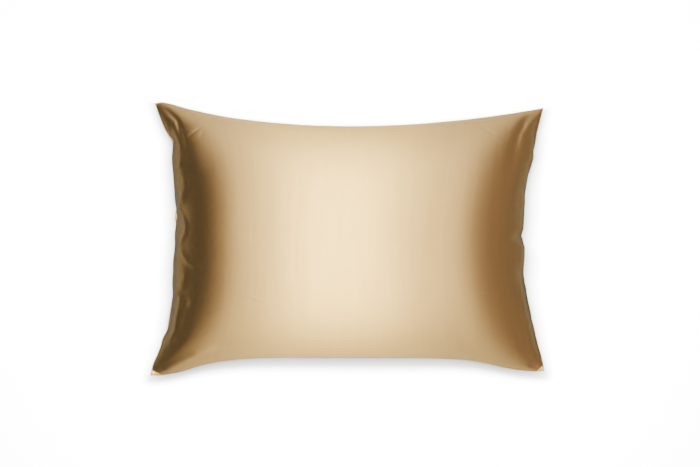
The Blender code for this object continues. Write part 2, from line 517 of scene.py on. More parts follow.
CREASES = (
    # Sewn end, upper corner
    Crease(26.0, 1.6, ((-283, 178), (-262, 142), (-256, 105))),
    Crease(4.5, -1.2, (
        (-311.2, 218.1), (-298.9, 210.8), (-288.4, 202.3), (-281.2, 194.5), (-277.1, 182.8),
        (-274.1, 169.5), (-268.7, 154.5),
    )),
    Crease(4.0, 0.5, (
        (-303.2, 207.6), (-294.7, 200.1), (-286.2, 194.3), (-282.6, 186.3), (-283.0, 175.7),
    )),
    Crease(5.5, 1.1, (
        (-283.0, 175.7), (-281.2, 161.2), (-277.1, 144.5), (-272.1, 126.2), (-270.4, 111.2),
    )),
    Crease(3.0, -0.8, ((-293, 186), (-291, 176), (-291, 168))),
    Crease(7.5, 2.2, (
        (-272.1, 117.9), (-266.2, 97.9), (-265.4, 84.6), (-272.1, 66.3), (-278.7, 52.9),
    )),
    Crease(5.0, -0.9, ((-282.9, 147.9), (-282.1, 106.2), (-281.2, 64.6))),
    Crease(2.6, 0.7, (
        (-280.4, 164.5), (-273.7, 149.5), (-270.4, 134.5), (-274.6, 119.5),
        (-278.7, 109.6),
    )),
    Crease(1.7, -0.28, ((-262.1, 166.2), (-252.1, 174.5), (-240.4, 183.6))),
    Crease(1.8, -0.18, ((-237.1, 177.8), (-240.4, 166.2))),
    # Sewn end, middle
    Crease(3.6, 1.5, (
        (-283.7, 66.3), (-277.9, 49.6), (-270.4, 34.6), (-265.4, 23), (-266.2, 9.7),
        (-272.1, -2), (-274.6, -12),
    )),
    Crease(4.5, -1.2, ((-282.1, 28), (-275.4, 18), (-273.7, 4.7))),
    Crease(4.2, 1.2, ((-274.6, -12), (-270.4, -25.3), (-260.4, -38.6), (-242.1, -48.6))),
    Crease(6.0, 1.4, ((-268.7, -45.3), (-266.2, -63.6), (-272.1, -80.3), (-280.4, -88.6))),
    Crease(5.0, 1.9, (
        (-289.5, -81.9), (-275.4, -96.1), (-276.2, -111.9), (-282.1, -131.9), (-285.4, -151.8),
        (-293.7, -176.8),
    )),
    Crease(6.0, -1.2, ((-262.1, -98.6), (-268.7, -111.9))),
    Crease(4.0, -1.2, ((-283.7, -28.6), (-282.1, -48.6), (-283.7, -71.9))),
    # Sewn end, lower corner
    Crease(3.6, -1.1, ((-289.5, -108.6), (-292.9, -125.2), (-297, -141.9))),
    Crease(7.0, -0.8, (
        (-318.7, -203.5), (-303.7, -190.1), (-287.0, -176.8), (-272.1, -161.8), (-262.1, -145.2),
    )),
    Crease(6.0, 2.0, (
        (-315.4, -219.3), (-298.7, -215.1), (-278.7, -205.1), (-248.8, -190.1), (-218.8, -180.2),
    )),
    Crease(3.0, -0.9, ((-318.0, -212.0), (-310.0, -214.5), (-302.0, -216.0))),
    # Open end, upper corner
    Crease(8.0, -1.7, (
        (322.0, 215.8), (313.5, 209.0), (301.7, 203.1), (294.0, 194.5), (289.0, 182.8),
        (282.1, 169.5), (275.7, 147.9), (267.4, 112.9),
    )),
    Crease(5.0, 0.6, (
        (317.8, 205.6), (309.4, 194.6), (298.2, 182.8), (290.5, 171.7), (283.9, 150.3),
    )),
    Crease(3.0, 0.7, ((293.0, 213.0), (301.0, 216.0), (309.0, 218.0))),
    Crease(3.0, 1.0, ((299, 149.5), (305.7, 137.9), (301.5, 119.5))),
    Crease(2.6, -0.6, ((297.4, 87.9), (294, 74.6))),
    Crease(4.0, -0.7, ((277.4, 59.6), (287.4, 54.6))),
    Crease(1.8, -0.3, ((212.5, 191.1), (227.4, 181.2), (244.1, 168.7))),
    Crease(1.9, 0.2, ((244.1, 167.8), (257.4, 157.8))),
    Crease(1.7, -0.22, ((227.4, 203.6), (240.8, 193.6))),
    Crease(1.7, -0.18, ((264.9, 187.8), (264.1, 179.5))),
    # Open end, middle and lower corner
    Crease(3.0, 1.0, ((294, 11.3), (289.9, 1.3), (292.4, -12))),
    Crease(3.0, -0.8, ((287.4, 24.6), (294, 18))),
    Crease(3.4, 1.0, ((295.7, -38.6), (297.4, -55.3), (293.2, -68.6))),
    Crease(7.0, 1.5, ((285.7, -75.3), (289, -101.9), (294, -131.9), (304, -165.2))),
    Crease(5.0, -1.2, ((300.7, -207.6), (310.7, -211.8), (318.2, -215.1))),
    Crease(6.0, -0.5, ((279.1, -151.8), (289.9, -176.0), (299.9, -191.8))),
    Crease(7.0, 0.25, ((154.2, -155.2), (174.2, -176.8), (190.8, -195.1))),
    Crease(7.0, -0.3, ((179.2, -148.5), (197.5, -168.5), (214.1, -188.5))),
    # Middle of the face
    Crease(1.9, 0.22, ((-168.8, -91.9), (-152.2, -95.2), (-137.2, -101.1))),
    Crease(1.7, -0.18, ((-155.5, 82.9), (-148.9, 77.1))),
    Crease(1.7, -0.15, ((-143.9, 177.8), (-136.4, 170.3))),
    Crease(5.0, -0.1, ((-78.9, 111.2), (-83.9, -18.6), (-80.6, -151.8))),
    Crease(5.0, 0.1, ((-58.9, 117.9), (-62.3, -2), (-58.9, -101.9))),
    Crease(6.0, -0.1, ((-35.6, 64.6), (-39, -85.2))),
)

FLAPS = (
    Flap("sewn_upper", 5.0, 4.0),
    Flap("open_lower", 17.0, 13.0),
    Flap("sewn_lower", 25.0, 12.0),
)


def smooth_line(shares: np.ndarray, values: np.ndarray, at: np.ndarray) -> np.ndarray:
    """A smooth line through values, with each one's slope from its neighbours.

    Args:
        shares: Where the values stand, rising.
        values: The values.
        at: The shares to read the line at.

    Returns:
        The line's values.
    """
    slopes = np.empty_like(values)
    slopes[1:-1] = (values[2:] - values[:-2]) / (shares[2:] - shares[:-2])
    slopes[0] = (values[1] - values[0]) / (shares[1] - shares[0])
    slopes[-1] = (values[-1] - values[-2]) / (shares[-1] - shares[-2])
    after = np.clip(np.searchsorted(shares, at, side="right"), 1, len(shares) - 1)
    before = after - 1
    width = shares[after] - shares[before]
    t = (at - shares[before]) / width
    return (
        values[before] * (2 * t**3 - 3 * t**2 + 1)
        + slopes[before] * width * (t**3 - 2 * t**2 + t)
        + values[after] * (3 * t**2 - 2 * t**3)
        + slopes[after] * width * (t**3 - t**2)
    )


def cubic_weights(count: int, at: np.ndarray) -> np.ndarray:
    """Rows that blend evenly spaced values into smooth values between them.

    Args:
        count: How many values there are, from share 0 to share 1.
        at: The shares to read.

    Returns:
        A row of weights for each share.
    """
    place = np.clip(at, 0, 1) * (count - 1)
    cell = np.minimum(place.astype(int), count - 2)
    t = place - cell
    taps = (
        -0.5 * t + t**2 - 0.5 * t**3,
        1 - 2.5 * t**2 + 1.5 * t**3,
        0.5 * t + 2 * t**2 - 1.5 * t**3,
        -0.5 * t**2 + 0.5 * t**3,
    )
    rows = np.zeros((len(at), count + 2))
    for offset, tap in enumerate(taps):
        rows[np.arange(len(at)), cell + offset] = tap
    # The two places beyond the ends carry on straight
    rows[:, 1] += 2 * rows[:, 0]
    rows[:, 2] -= rows[:, 0]
    rows[:, -2] += 2 * rows[:, -1]
    rows[:, -3] -= rows[:, -1]
    return rows[:, 1:-1]


@dataclass
class Seam:
    """The loop where the two panels meet, and the smooth surface that it spans."""

    length: float = 0.660
    width: float = 0.510
    gathered: float = 0.873
    height: float = 0.092
    droop_power: float = 2.6
    # The smooth part of a side's curve has this many terms, and the rest of it is puckers
    smooth_terms: int = 5

    def tip(self, name: str) -> np.ndarray:
        """Where a tip is."""
        tip = TIPS[name]
        return np.array((
            tip.end * self.length / 2 + tip.x * MM,
            tip.side * self.width * self.gathered / 2 + tip.y * MM,
            tip.height * MM,
        ))

    def points(self, side: SeamSide, shares: np.ndarray) -> np.ndarray:
        """Points of one side's seam.

        Args:
            side: The side.
            shares: How far along it, from 0 to 1, in any shape.

        Returns:
            The points, with one more axis than shares.
        """
        start, end = self.tip(side.start), self.tip(side.end)
        chord = end - start
        inward = np.array((chord[1], -chord[0], 0.0)) / np.hypot(chord[0], chord[1])
        drawn_in = self._smooth_part(side, shares)
        points = start + chord * shares[..., None] + inward * drawn_in[..., None]
        lift = (self.height - points[..., 2]) * (1 - np.abs(2 * shares - 1) ** self.droop_power)
        return points + UP * lift[..., None]

    def puckers(self, side: SeamSide, shares: np.ndarray) -> np.ndarray:
        """How far small puckers draw one side's seam in beyond its smooth curve, in metres.

        Args:
            side: The side.
            shares: How far along it, from 0 to 1.

        Returns:
            A distance for each share.
        """
        table = np.array(side.sections)
        drawn_in = smooth_line(table[:, 0], table[:, 1], shares) * MM
        return drawn_in - self._smooth_part(side, shares)

    def _smooth_part(self, side: SeamSide, shares: np.ndarray) -> np.ndarray:
        """The smooth curve that fits a side's sections best, in metres.

        Args:
            side: The side.
            shares: How far along it, from 0 to 1.

        Returns:
            A distance for each share.
        """
        table = np.array(side.sections)

        def terms(at: np.ndarray) -> np.ndarray:
            """Powers that are nothing at both tips."""
            powers = (2 * at[..., None] - 1) ** np.arange(self.smooth_terms)
            return powers * (4 * at * (1 - at))[..., None]

        weights, *_ = np.linalg.lstsq(terms(table[:, 0]), table[:, 1] * MM, rcond=None)
        return terms(shares) @ weights

    def outward(self, side: SeamSide, shares: np.ndarray) -> np.ndarray:
        """Level unit vectors that point away from the case across one side's seam.

        Args:
            side: The side.
            shares: How far along it, from 0 to 1.

        Returns:
            The vectors, with one more axis than shares.
        """
        step = 0.01
        low, high = np.clip(shares - step, 0, 1), np.clip(shares + step, 0, 1)
        run = self.points(side, high) - self.points(side, low)
        across = np.stack((-run[..., 1], run[..., 0], np.zeros_like(shares)), axis=-1)
        return across / np.linalg.norm(across, axis=-1, keepdims=True)

    def shows(self, side: SeamSide, shares: np.ndarray) -> tuple[np.ndarray, np.ndarray]:
        """How far the back panel shows beyond one side's seam, in metres, and how much of that
        it turns up.

        Args:
            side: The side.
            shares: How far along it, from 0 to 1.

        Returns:
            The distances and the parts of them, for each share.
        """
        table = np.array(side.shown)
        return (
            smooth_line(table[:, 0], table[:, 1], shares) * MM,
            np.interp(shares, table[:, 0], table[:, 2]),
        )

    def surface(self, along: np.ndarray, across: np.ndarray) -> np.ndarray:
        """The surface that the seam spans.

        Args:
            along: Shares from the sewn end to the open end.
            across: Shares from the lower side to the upper side, in the same shape.

        Returns:
            The points, with one more axis.
        """
        u, v = along[..., None], across[..., None]
        corners = (
            self.tip("sewn_lower") * (1 - u) * (1 - v)
            + self.tip("open_lower") * u * (1 - v)
            + self.tip("sewn_upper") * (1 - u) * v
            + self.tip("open_upper") * u * v
        )
        between_long = (
            self.points(LOWER_SIDE, 1 - along) * (1 - v) + self.points(UPPER_SIDE, along) * v
        )
        between_ends = (
            self.points(SEWN_END, across) * (1 - u) + self.points(OPEN_END, 1 - across) * u
        )
        return between_long + between_ends - corners

    def edges(
        self, along: np.ndarray, across: np.ndarray
    ) -> tuple[tuple[SeamSide, np.ndarray, np.ndarray], ...]:
        """Each side with the share along it of each place of a panel, and the cloth between
        the place and the side's seam, in metres."""
        return (
            (UPPER_SIDE, along, (1 - across) * self.width),
            (LOWER_SIDE, 1 - along, across * self.width),
            (SEWN_END, across, along * self.length),
            (OPEN_END, 1 - across, (1 - along) * self.length),
        )


# ---------------------------------------------------------------------------------------------
# The inflated case
# ---------------------------------------------------------------------------------------------


@dataclass
class Inflation:
    """The two panels blown up by the cloth solver, which knows their flat cut as their rest
    shape and holds the seam. The first sizes give the form that it starts from."""

    seam: Seam
    steps_along: int = 96
    steps_across: int = 72
    crown: float = 0.190
    round_power: float = 2.3
    shoulder_power: float = 0.66
    back_fullness: float = 1.28
    back_settle_power: float = 1.7
    pressure: float = 6.0
    frames: int = 30
    cloth_mass: float = 0.05
    stiffness: float = 25.0
    shear: float = 5.0
    bending: float = 0.3
    quality: int = 6
    smoothing: int = 12

    def panels(self) -> dict[Face, np.ndarray]:
        """The inflated panels as grids of points, along by across.

        Returns:
            Each panel's grid.
        """
        along, across = np.meshgrid(
            np.linspace(0, 1, self.steps_along + 1),
            np.linspace(0, 1, self.steps_across + 1),
            indexing="ij",
        )
        start = {face: self._start(face, along, across) for face in Face}
        return self._inflated(start, along, across)

    def _start(self, face: Face, along: np.ndarray, across: np.ndarray) -> np.ndarray:
        """One panel before inflation: a crown over the seam or a settled back under it.

        Args:
            face: The panel.
            along: Shares along the case.
            across: Shares across it.

        Returns:
            The panel's grid.
        """
        points = self.seam.surface(along, across)
        rise = 1.0
        for share in (along, across):
            profile = 1 - np.abs(2 * share - 1) ** self.round_power
            rise = rise * np.clip(profile, 0, 1) ** self.shoulder_power
        height = points[..., 2]
        if face is Face.FRONT:
            points[..., 2] = height + (self.crown - height) * rise
        else:
            sunk = np.minimum(self.back_fullness * rise, 1.0)
            points[..., 2] = height * (1 - sunk) ** self.back_settle_power
        return points

    def _inflated(
        self, start: dict[Face, np.ndarray], along: np.ndarray, across: np.ndarray
    ) -> dict[Face, np.ndarray]:
        """Run the cloth solver from the start form.

        Args:
            start: The panels' grids before inflation.
            along: The grids' shares along the case.
            across: The grids' shares across the case.

        Returns:
            The panels' grids after it.
        """
        rows, columns = along.shape
        lines = (np.arange(rows), np.arange(columns))
        numbers = number_panels(rows, columns, lines)
        points = panel_points(numbers, start)
        flat = np.stack(
            (
                (along - 0.5) * self.seam.length,
                (across - 0.5) * self.seam.width,
                np.zeros_like(along),
            ),
            axis=-1,
        )
        cut = np.empty_like(points)
        for face in Face:
            cut[numbers[face]] = flat
        mesh = bpy.data.meshes.new("inflation")
        rings = [
            numbers[face].ravel()[ring].tolist()
            for face in Face
            for ring in panel_rings(face, rows, columns, lines)
        ]
        mesh.from_pydata(points.tolist(), [], rings)
        form = add_object("inflation", mesh)
        form.shape_key_add(name="start")
        flat_key = form.shape_key_add(name="cut")
        flat_key.data.foreach_set("co", cut.ravel())
        held = form.vertex_groups.new(name="seam")
        held.add(seam_numbers(numbers[Face.FRONT]).tolist(), 1.0, "REPLACE")
        solver = form.modifiers.new("inflation", "CLOTH")
        settings = solver.settings
        settings.quality = self.quality
        settings.mass = self.cloth_mass
        settings.tension_stiffness = self.stiffness
        settings.compression_stiffness = self.stiffness
        settings.shear_stiffness = self.shear
        settings.bending_stiffness = self.bending
        settings.use_pressure = True
        settings.uniform_pressure_force = self.pressure
        settings.rest_shape_key = flat_key
        settings.vertex_group_mass = held.name
        settings.effector_weights.gravity = 0.0
        solver.collision_settings.use_collision = False
        solver.point_cache.frame_start = 1
        solver.point_cache.frame_end = self.frames
        for number in range(1, self.frames + 1):
            bpy.context.scene.frame_set(number)
        settled = bpy.data.meshes.new_from_object(
            form.evaluated_get(bpy.context.evaluated_depsgraph_get())
        )
        result = np.empty(points.size)
        settled.vertices.foreach_get("co", result)
        result = result.reshape(points.shape)
        bpy.data.objects.remove(form)
        for used in (mesh, settled):
            bpy.data.meshes.remove(used)
        bpy.context.scene.frame_set(1)
        return {face: self._smoothed(start[face], result[numbers[face]]) for face in Face}

    def _smoothed(self, start: np.ndarray, result: np.ndarray) -> np.ndarray:
        """The inflated panel with the solver's fine ripples taken out of its move.

        Args:
            start: The panel's grid before inflation.
            result: Its grid after it.

        Returns:
            The smoothed grid.
        """
        move = result - start
        for _ in range(self.smoothing):
            for axis in (0, 1):
                beside = np.roll(move, 1, axis) + np.roll(move, -1, axis)
                inner = (slice(1, -1), slice(1, -1))
                move[inner] = 0.5 * move[inner] + 0.25 * beside[inner]
        return start + move


def number_panels(
    rows: int, columns: int, lines: tuple[np.ndarray, np.ndarray]
) -> dict[Face, np.ndarray]:
    """Number the points of both panels. They share the seam's points, and the back panel has
    inner points only where its lines cross.

    Args:
        rows: Points along a panel's grid.
        columns: Points across it.
        lines: The back panel's rows and columns, with the first and the last.

    Returns:
        Each panel's grid of numbers, -1 where it has no point.
    """
    front = np.arange(rows * columns).reshape(rows, columns)
    used = np.zeros(front.shape, bool)
    used[np.ix_(lines[0][1:-1], lines[1][1:-1])] = True
    back = front.copy()
    back[1:-1, 1:-1] = -1
    back[used] = rows * columns + np.arange(np.count_nonzero(used))
    return {Face.FRONT: front, Face.BACK: back}


def panel_points(numbers: dict[Face, np.ndarray], grids: dict[Face, np.ndarray]) -> np.ndarray:
    """The points of both panels in the order of their numbers, the seam as the front has it.

    Args:
        numbers: Each panel's grid of numbers.
        grids: Each panel's grid of points.

    Returns:
        The points.
    """
    points = np.empty((max(grid.max() for grid in numbers.values()) + 1, 3))
    for face in (Face.BACK, Face.FRONT):
        used = numbers[face] >= 0
        points[numbers[face][used]] = grids[face][used]
    return points


def panel_rings(
    face: Face, rows: int, columns: int, lines: tuple[np.ndarray, np.ndarray]
) -> list[list[int]]:
    """The faces of one panel as rings of places in its grid, read row by row, facing out.

    Args:
        face: The panel.
        rows: Points along its grid.
        columns: Points across it.
        lines: The rows and columns that it has faces between. Beside the seam a face takes in
            all the seam's points.

    Returns:
        The rings.
    """
    rings = []
    for low, high in zip(lines[0][:-1], lines[0][1:]):
        for near, far in zip(lines[1][:-1], lines[1][1:]):
            rise = range(low, high) if near == 0 else (low,)
            cross = range(near, far) if high == rows - 1 else (near,)
            fall = range(high, low, -1) if far == columns - 1 else (high,)
            back = range(far, near, -1) if low == 0 else (far,)
            ring = [row * columns + near for row in rise]
            ring += [high * columns + column for column in cross]
            ring += [row * columns + far for row in fall]
            ring += [low * columns + column for column in back]
            rings.append(ring if face is Face.FRONT else ring[::-1])
    return rings


def seam_numbers(grid: np.ndarray) -> np.ndarray:
    """The numbers round the edge of a panel's grid."""
    return np.unique(np.concatenate((grid[0], grid[-1], grid[:, 0], grid[:, -1])))


# ---------------------------------------------------------------------------------------------
# The case
# ---------------------------------------------------------------------------------------------


@dataclass
class FilledCase:
    """The pillowcase on its pillow: one closed padded form with rolled seam edges, a narrow
    hem at the open end, gathers at both ends and listed creases."""

    seam: Seam = field(default_factory=Seam)
    finish: SatinFinish = field(default_factory=SatinFinish)
    name: str = "satin_case"
    steps_along: int = 340
    steps_across: int = 250
    # Lines crowd towards the seams: how many more, and how far in they thin out
    crowding_along: tuple[tuple[float, float], ...] = ((5.0, 4.0 * MM), (1.6, 50.0 * MM))
    crowding_across: tuple[tuple[float, float], ...] = ((5.0, 4.0 * MM), (0.4, 60.0 * MM))
    # The back panel keeps this many lines beside the seam, and one in so many further in
    back_edge_lines: int = 14
    back_spacing: int = 3
    fill: float = 0.8
    # A seam lies sunk in a groove between the two panels, and the opening is a deep slot
    groove_depth: float = 1.6 * MM
    groove_width: float = 1.2 * MM
    slot_depth: float = 4.0 * MM
    slot_width: float = 1.3 * MM
    roll_out: float = 0.3 * MM
    roll_width: float = 1.6 * MM
    roll_lift: float = 0.4 * MM
    back_roll_width: float = 3.2 * MM
    pucker_run: float = 20.0 * MM
    # The groove and the slot fade out over this share of a side at each tip
    tip_share: float = 0.03
    # The cloth lifts off the seam over this much of itself before its creases are full
    crease_start: float = 7.0 * MM
    # How much of its height a crease has lost at its ends
    crease_fade: float = 0.75
    # Fine gathers at the ends: how many, their heights, their widths and how far they run
    gathers: int = 34
    gather_height: float = 0.55 * MM
    gather_width: tuple[float, float] = (2.5 * MM, 6.0 * MM)
    gather_run: tuple[float, float] = (8.0 * MM, 26.0 * MM)
    # Where along an end they lie, as shares, how far they slant, and how they fan out
    gather_place: tuple[float, float] = (0.06, 0.94)
    gather_slant: float = 0.35
    gather_fan: float = 0.12
    seed: int = 7
    # The hem at the open end
    hem_width: float = 8.0 * MM
    hem_lift: float = 0.12 * MM
    hem_step: float = 3.0 * MM
    # How sharply a flat corner turns up into the filled cloth, as a share of its reach
    flap_turn: float = 0.22
    # The form rests on the floor, and turns up from it over this height
    floor_turn: float = 1.5 * MM
    # Over so many times that height the turn is nothing
    floor_free: float = 20.0
    # On the cloth's map the back panel starts at this many of its lengths
    back_start: float = 1.1
    along: np.ndarray = field(init=False, repr=False)
    across: np.ndarray = field(init=False, repr=False)
    panels: dict[Face, np.ndarray] = field(init=False, repr=False)

    def __post_init__(self) -> None:
        """Lay out the grid's shares along and across the case."""
        lines = (
            crowded_shares(self.seam.length, self.steps_along, self.crowding_along),
            crowded_shares(self.seam.width, self.steps_across, self.crowding_across),
        )
        self.along, self.across = np.meshgrid(*lines, indexing="ij")

    def build(self) -> bpy.types.Object:
        """Returns:
            The case's object.
        """
        grids = self._sampled(Inflation(self.seam).panels())
        self.panels = {face: self._dressed(face, grid) for face, grid in grids.items()}
        rows, columns = self.along.shape
        every = (np.arange(rows), np.arange(columns))
        lines = {Face.FRONT: every, Face.BACK: (self._thinned(rows), self._thinned(columns))}
        numbers = number_panels(rows, columns, lines[Face.BACK])
        rings = {face: panel_rings(face, rows, columns, lines[face]) for face in Face}
        faces = [
            numbers[face].ravel()[ring].tolist() for face in Face for ring in rings[face]
        ]
        mesh = bpy.data.meshes.new(self.name)
        mesh.from_pydata(panel_points(numbers, self.panels).tolist(), [], faces)
        self._map_cloth(mesh, rings)
        mesh.shade_smooth()
        mesh.materials.append(self.finish.material())
        case = add_object(self.name, mesh)
        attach(case, BODY)
        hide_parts(CASE_NODE)
        return case

    def place(
        self, face: Face, along: np.ndarray, across: np.ndarray
    ) -> tuple[np.ndarray, np.ndarray]:
        """Where places of the flat cloth lie on the finished case.

        Args:
            face: The panel.
            along: Shares along the case.
            across: Shares across it, as many.

        Returns:
            The points, and the way out from the cloth at each.
        """
        grid = self.panels[face]
        normals = grid_normals(grid) * face.value
        row = np.interp(along, self.along[:, 0], np.arange(grid.shape[0]))
        column = np.interp(across, self.across[0], np.arange(grid.shape[1]))
        i = np.minimum(row.astype(int), grid.shape[0] - 2)
        j = np.minimum(column.astype(int), grid.shape[1] - 2)
        s, t = (row - i)[:, None], (column - j)[:, None]
        point, normal = (
            values[i, j] * (1 - s) * (1 - t)
            + values[i + 1, j] * s * (1 - t)
            + values[i, j + 1] * (1 - s) * t
            + values[i + 1, j + 1] * s * t
            for values in (grid, normals)
        )
        return point, normal / np.linalg.norm(normal, axis=-1, keepdims=True)

    def _thinned(self, count: int) -> np.ndarray:
        """The grid lines that the back panel keeps, of a count of them.

        Args:
            count: How many there are.

        Returns:
            Their places.
        """
        edge = self.back_edge_lines
        inner = np.arange(edge, count - edge, self.back_spacing)
        return np.concatenate((np.arange(edge), inner, np.arange(count - edge, count)))

    def _sampled(self, panels: dict[Face, np.ndarray]) -> dict[Face, np.ndarray]:
        """The inflated panels read on the fine grid.

        Args:
            panels: Each panel's coarse grid.

        Returns:
            Each panel's fine grid.
        """
        rows, columns = panels[Face.FRONT].shape[:2]
        down = cubic_weights(rows, self.along[:, 0])
        over = cubic_weights(columns, self.across[0])
        return {
            face: np.einsum("ai,ijk,bj->abk", down, grid, over, optimize=True)
            for face, grid in panels.items()
        }

    def _dressed(self, face: Face, grid: np.ndarray) -> np.ndarray:
        """One panel with its seam edge, hem and creases, settled on the floor.

        Args:
            face: The panel.
            grid: Its fine grid.

        Returns:
            The finished grid.
        """
        normals = grid_normals(grid) * face.value
        lift = self._hem() + self._gathers(face)
        if face is Face.FRONT:
            lift = lift + self._creases(grid)
        dressed = grid + normals * lift[..., None]
        if face is Face.FRONT:
            dressed = self._flattened(dressed)
        for side, share, cloth in self.seam.edges(self.along, self.across):
            dressed = dressed + self._edge(face, side, share, cloth)
        return self._settled(dressed)

    def _edge(
        self, face: Face, side: SeamSide, share: np.ndarray, cloth: np.ndarray
    ) -> np.ndarray:
        """How one side's seam moves a panel: the seam is puckered and lies in its groove, and
        the cloth beside it rolls out over it. The open end gapes.

        Args:
            face: The panel.
            side: The side.
            share: How far along the side each point is.
            cloth: The cloth between each point and the side's seam.

        Returns:
            The move of each point.
        """
        tips = np.clip(np.minimum(share, 1 - share) / self.tip_share, 0, 1)
        move = -self.seam.puckers(side, share) * np.exp(-((cloth / self.pucker_run) ** 2))
        sunk = np.zeros_like(cloth)
        if side is OPEN_END:
            move = move - self.slot_depth * tips * np.exp(-((cloth / self.slot_width) ** 2))
        else:
            sunk = -self.groove_depth * tips * np.exp(-((cloth / self.groove_width) ** 2))
        if face is Face.FRONT:
            width, out = self.roll_width, self.roll_out
            rise = self.roll_lift * tips
        else:
            shown, turned = self.seam.shows(side, share)
            width, out = self.back_roll_width, self.roll_out + shown
            rise = turned * out
        roll = cloth / width * np.exp(1 - cloth / width)
        outward = self.seam.outward(side, share)
        return outward * (move + out * roll)[..., None] + UP * (sunk + rise * roll)[..., None]

    def _hem(self) -> np.ndarray:
        """How far the doubled cloth of the hem stands out, with a soft step at its stitches.

        Returns:
            A lift for each point.
        """
        cloth = (1 - self.along) * self.seam.length
        inner = np.clip((self.hem_width - cloth) / self.hem_step + 0.5, 0, 1)
        return self.hem_lift * inner * inner * (3 - 2 * inner)

    def _gathers(self, face: Face) -> np.ndarray:
        """How far the fine gathers at both ends lift a panel.

        Args:
            face: The panel.

        Returns:
            A lift for each point.
        """
        drawn = np.random.default_rng(self.seed + face.value)
        total = np.zeros(self.along.shape)
        across = self.across * self.seam.width
        for cloth in (self.along * self.seam.length, (1 - self.along) * self.seam.length):
            for _ in range(self.gathers):
                middle = drawn.uniform(*self.gather_place) * self.seam.width
                height = drawn.uniform(-1, 1) * self.gather_height
                width = drawn.uniform(*self.gather_width)
                run = drawn.uniform(*self.gather_run)
                slant = drawn.uniform(-self.gather_slant, self.gather_slant)
                away = (across - middle - slant * cloth) / (width + self.gather_fan * cloth)
                total += height * np.exp(-(away**2) - (cloth / run) ** 2)
        return total

    def _creases(self, grid: np.ndarray) -> np.ndarray:
        """How far the listed creases lift the front panel.

        Args:
            grid: The panel's grid.

        Returns:
            A lift for each point.
        """
        total = np.zeros(self.along.shape)
        for crease in CREASES:
            line = np.array(crease.line) * MM
            steps = np.linalg.norm(np.diff(line, axis=0), axis=1)
            length, passed = steps.sum(), 0.0
            nearest = np.full(total.shape, np.inf)
            run = np.zeros(total.shape)
            for start, end, step in zip(line[:-1], line[1:], steps):
                offset = grid[..., :2] - start
                share = np.clip(offset @ (end - start) / step**2, 0, 1)
                away = np.linalg.norm(offset - (end - start) * share[..., None], axis=-1)
                run = np.where(away < nearest, (passed + share * step) / length, run)
                nearest = np.minimum(away, nearest)
                passed += step
            fade = 1 - np.abs(2 * run - 1) ** 3 * self.crease_fade
            total += crease.height * MM * fade * np.exp(-((nearest / (crease.width * MM)) ** 2))
        seam = np.minimum.reduce([c for _, _, c in self.seam.edges(self.along, self.across)])
        return total * np.clip(seam / self.crease_start, 0, 1)

    def _flattened(self, grid: np.ndarray) -> np.ndarray:
        """The front panel with its unfilled corners lying flat.

        Args:
            grid: The panel's grid.

        Returns:
            The changed grid.
        """
        flat = grid.copy()
        for flap in FLAPS:
            tip = TIPS[flap.tip]
            along = self.along if tip.end < 0 else 1 - self.along
            across = self.across if tip.side < 0 else 1 - self.across
            reach = along * self.seam.length / (flap.along * MM)
            reach = reach + across * self.seam.width / (flap.across * MM)
            inside = np.clip((1 - reach) / self.flap_turn, 0, 1)
            inside = inside * inside * (3 - 2 * inside)
            level = self.seam.tip(flap.tip)[2]
            flat[..., 2] += (level - flat[..., 2]) * inside
        return flat

    def _settled(self, points: np.ndarray) -> np.ndarray:
        """The points with what would sink into the floor lying flat on it.

        Args:
            points: A panel's grid.

        Returns:
            The changed grid.
        """
        height = points[..., 2] / self.floor_turn
        low = np.minimum(height, self.floor_free)
        rounded = np.where(height > self.floor_free, height, np.log1p(np.exp(low)))
        points[..., 2] = rounded * self.floor_turn
        return points

    def _map_cloth(self, mesh: bpy.types.Mesh, rings: dict[Face, list[list[int]]]) -> None:
        """Give the mesh a UV map in metres of flat cloth, with the back beside the front.

        Args:
            mesh: The case's mesh.
            rings: Each panel's faces as rings of places in its grid, in the mesh's order.
        """
        front = np.stack(
            (self.along * self.seam.length, self.across * self.seam.width), axis=-1
        ).reshape(-1, 2)
        back = front + np.array((self.seam.length * self.back_start, 0.0))
        corners = np.concatenate((
            front[np.concatenate(rings[Face.FRONT])],
            back[np.concatenate(rings[Face.BACK])],
        ))
        layer = mesh.uv_layers.new(name=CLOTH_MAP)
        layer.data.foreach_set("uv", corners.ravel())


def crowded_shares(
    length: float, steps: int, crowding: tuple[tuple[float, float], ...]
) -> np.ndarray:
    """Shares from 0 to 1 that crowd towards both ends.

    Args:
        length: The length that they divide, in metres.
        steps: How many parts they make.
        crowding: How many times more parts an end has than the middle, and over what length
            they thin out. The pairs add up.

    Returns:
        The shares, one more than the steps.
    """
    fine = np.linspace(0, length, LENGTH_SAMPLES)
    from_end = np.minimum(fine, length - fine)
    density = 1 + sum(amount * np.exp(-from_end / reach) for amount, reach in crowding)
    passed = np.concatenate(((0.0,), np.cumsum(density[1:] + density[:-1])))
    shares = np.interp(np.linspace(0, passed[-1], steps + 1), passed, fine) / length
    shares[0], shares[-1] = 0.0, 1.0
    return shares


def grid_normals(grid: np.ndarray) -> np.ndarray:
    """Unit normals of a grid of points, up where the grid is level."""
    normals = np.cross(np.gradient(grid, axis=0), np.gradient(grid, axis=1))
    return normals / np.maximum(np.linalg.norm(normals, axis=-1, keepdims=True), 1e-12)


# ---------------------------------------------------------------------------------------------
# The stitches
# ---------------------------------------------------------------------------------------------


class StitchRow(NamedTuple):
    """A row of stitches: a panel's place where it starts and ends, as shares along and across
    the case, and how far it stands off the cloth."""

    face: Face
    start: tuple[float, float]
    end: tuple[float, float]
    proud: float


